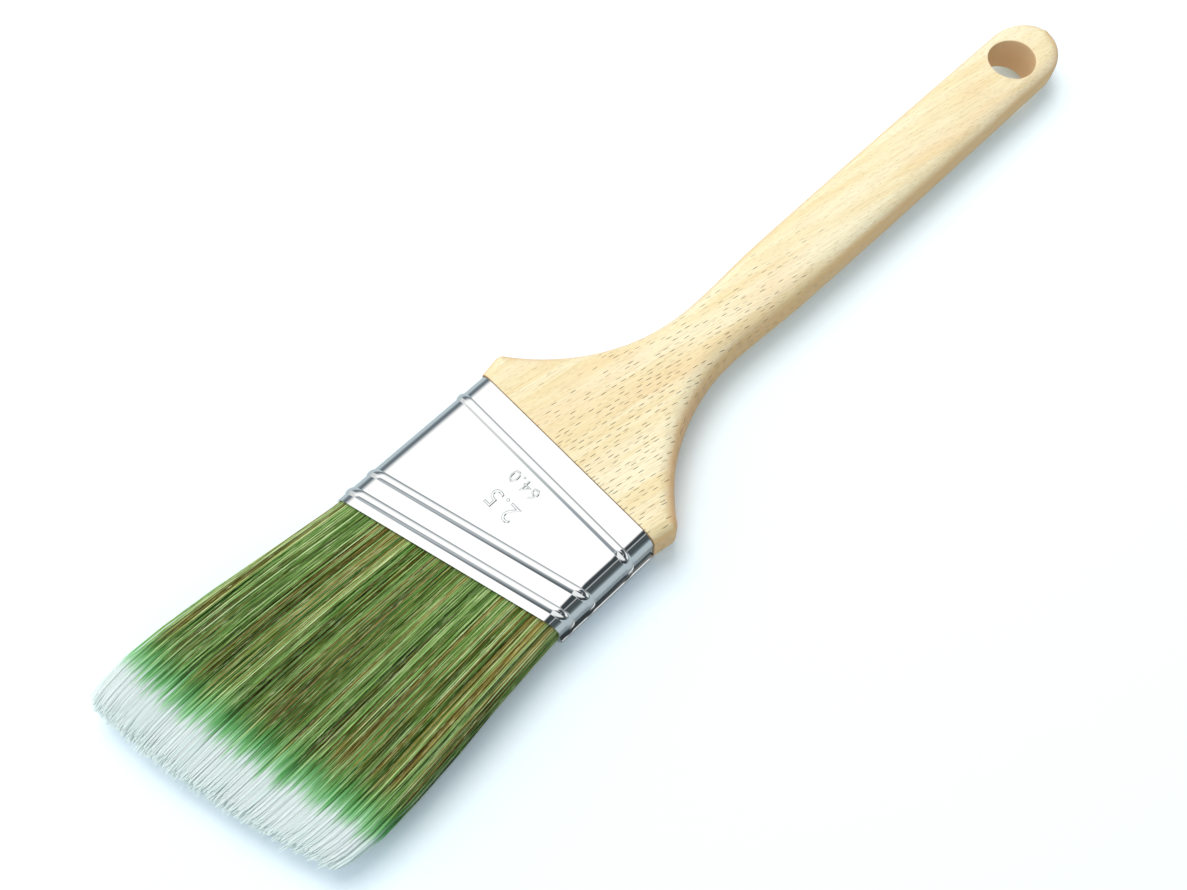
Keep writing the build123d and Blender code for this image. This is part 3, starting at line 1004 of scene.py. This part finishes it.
def mirrored_room(sky, look):
    """The colour that polished metal sees in a direction: a bright panel overhead and
    towards the toe and the butt, a slate-grey room round it, and further panels."""
    tipward, heelward, up = sky.split(look)
    toeward = sky.math("MAXIMUM", sky.product(heelward, -1.0), 0.0)
    buttward = sky.math("MAXIMUM", sky.product(tipward, -1.0), 0.0)

    # the main panel: its vertical edge, and its lower edge, which rises towards the toe
    beyond = sky.vector("DOT_PRODUCT", look, (-0.69, -0.72, 0.0))
    beyond = sky.math("ADD", beyond, sky.product(toeward, 0.4))
    lower = sky.math("SUBTRACT", toeward, sky.product(buttward, 0.5))
    lower = sky.product(sky.math("MAXIMUM", lower, 0.0), 0.8)
    lower = sky.math("ADD", lower, sky.product(buttward, 0.3))
    panel = sky.product(sky.span(beyond, -0.03, 0.14),
                        sky.span(sky.math("SUBTRACT", up, lower), -0.25, 0.55))

    # the room: its walls, pale near the floor, a light strip, and the tips' side
    room = sky.mix(sky.span(heelward, -0.5, 0.2), (0.31, 0.37, 0.43), (0.10, 0.12, 0.135))
    room = sky.mix(sky.span(heelward, 0.4, 0.75), room, (0.15, 0.18, 0.195))
    low = sky.mix(sky.span(heelward, -0.3, 0.3), (0.74, 0.86, 0.90), (0.47, 0.56, 0.57))
    room = sky.mix(sky.span(up, 0.02, 0.33, 1, 0), room, low)
    strip = sky.product(sky.span(up, 0.72, 0.75), sky.span(up, 0.79, 0.82, 1, 0),
                        sky.span(heelward, 0.05, 0.15))
    room = sky.mix(sky.product(strip, 0.95), room, (1.0, 1.0, 1.0))
    tip_side = sky.ramp(sky.math("ADD", heelward, 0.5), [
        (0.0, (1.5, 1.5, 1.5)), (0.165, (1.5, 1.5, 1.5)), (0.245, (0.8, 0.85, 0.9)),
        (0.30, (0.6, 0.65, 0.7)), (0.36, (1.2, 1.25, 1.3)), (0.44, (0.6, 0.65, 0.7)),
        (0.5, (0.26, 0.3, 0.32)), (1.0, (0.10, 0.12, 0.135))])
    room = sky.mix(sky.span(tipward, -0.05, 0.1), room, tip_side)
    seen = sky.mix(panel, room, (2.46, 2.40, 2.38))

    # a dark patch, seen where the beads cross the rounding on the heel's side
    crossing = sky.product(sky.span(buttward, 0.38, 0.5), sky.span(heelward, 0.0, 0.08),
                           sky.span(up, 0.40, 0.5))
    seen = sky.mix(crossing, seen, (0.13, 0.16, 0.19))

    # more panels, which the steel shows to other views than the camera's
    past_end = sky.math("SUBTRACT", heelward, sky.product(tipward, 0.35))
    end_panel = sky.product(sky.span(tipward, -0.02, 0.015),
                            sky.span(past_end, -0.14, -0.08), sky.span(up, 0.3, 0.5))
    back_panel = sky.product(sky.span(buttward, 0.3, 0.45), sky.span(heelward, 0.3, 0.45),
                             sky.span(up, 0.40, 0.48, 1, 0), sky.span(up, 0.08, 0.2))
    return sky.mix(sky.math("MAXIMUM", end_panel, back_panel), seen, (1.9, 1.9, 1.92))


def make_world():
    """Soft light from all round, white to the camera, and a room for polished metal."""
    world = bpy.data.worlds.new("studio")
    bpy.context.scene.world = world
    world.use_nodes = True
    world.node_tree.nodes.clear()
    sky = Shader(world.node_tree)
    look = sky.node("ShaderNodeTexCoord").outputs["Generated"]
    open_side = sky.vector("DOT_PRODUCT", look, (0.85, -0.5, 0.0))
    around = sky.mix(sky.span(open_side, -1, 1), (0.36, 0.43, 0.48), (1.28, 1.54, 1.74))
    soft = sky.node("ShaderNodeBackground", {"Color": around, "Strength": 0.69})
    mirror = sky.node("ShaderNodeBackground",
                      {"Color": mirrored_room(sky, look), "Strength": MIRRORED})
    white = sky.node("ShaderNodeBackground", {"Color": (1.0, 1.0, 1.0)})
    path = sky.node("ShaderNodeLightPath").outputs
    first = sky.node("ShaderNodeMixShader", {0: path["Is Glossy Ray"],
                     1: soft.outputs[0], 2: mirror.outputs[0]})
    second = sky.node("ShaderNodeMixShader", {0: path["Is Camera Ray"],
                      1: first.outputs[0], 2: white.outputs[0]})
    sky.node("ShaderNodeOutputWorld", {"Surface": second.outputs[0]})


def make_lamp(name, place, aim, size, power, colour):
    """A large soft panel."""
    light = bpy.data.lights.new(name, "AREA")
    light.shape = "SQUARE"
    light.size = size
    light.energy = power
    light.color = colour
    lamp = bpy.data.objects.new(name, light)
    bpy.context.scene.collection.objects.link(lamp)
    lamp.location = place
    lamp.rotation_euler = (Vector(aim) - Vector(place)).to_track_quat("-Z", "Y").to_euler()
    lamp.visible_glossy = False  # polished metal sees the world's panel instead


def make_camera():
    camera = bpy.data.objects.new("camera", bpy.data.cameras.new("camera"))
    bpy.context.scene.collection.objects.link(camera)
    camera.location = (0.2459, 0.0882, 0.2892)
    camera.rotation_euler = (0.3819, 0.0163, 2.3791)
    camera.data.lens = 36.39
    camera.data.sensor_width = 36.0
    camera.data.clip_start = 0.01
    bpy.context.scene.camera = camera


# ---- build ----------------------------------------------------------------------------


def main():
    wood = wood_material()
    steel = steel_material()
    filament = filament_material()
    dress(make_handle(), wood)
    dress(make_ferrule(), steel)
    for mark in mark_rows:
        dress(make_mark(*mark), steel)
    for place, layer, seed in (("front", 1, 11), ("middle", 0, 12), ("back", -1, 13)):
        piece = make_filaments("filaments_" + place, "bristles_" + place, layer, seed)
        dress(piece, filament)

    resin = plain_material("resin", srgb(128, 104, 62), srgb(104, 82, 46), (3, 3, 3), 0.3)
    strip = plain_material("strip_wood", srgb(222, 196, 150), srgb(200, 168, 120),
                           (20, 1, 1), 0.6)
    glue = plain_material("set_glue", srgb(232, 224, 196), srgb(218, 206, 172),
                          (2, 2, 2), 0.4)
    for node, material in (("setting_epoxy", resin), ("spacer_front", strip),
                           ("spacer_back", strip), ("tenon_glue", glue)):
        dress(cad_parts[node], material)

    make_floor()
    make_world()
    make_lamp("key", (-0.03, -0.50, 1.22), (0.15, 0.0, 0.0), 0.8, 11.2, (1.0, 0.95, 0.89))
    make_camera()
    bpy.context.scene.view_settings.view_transform = "Standard"


main()
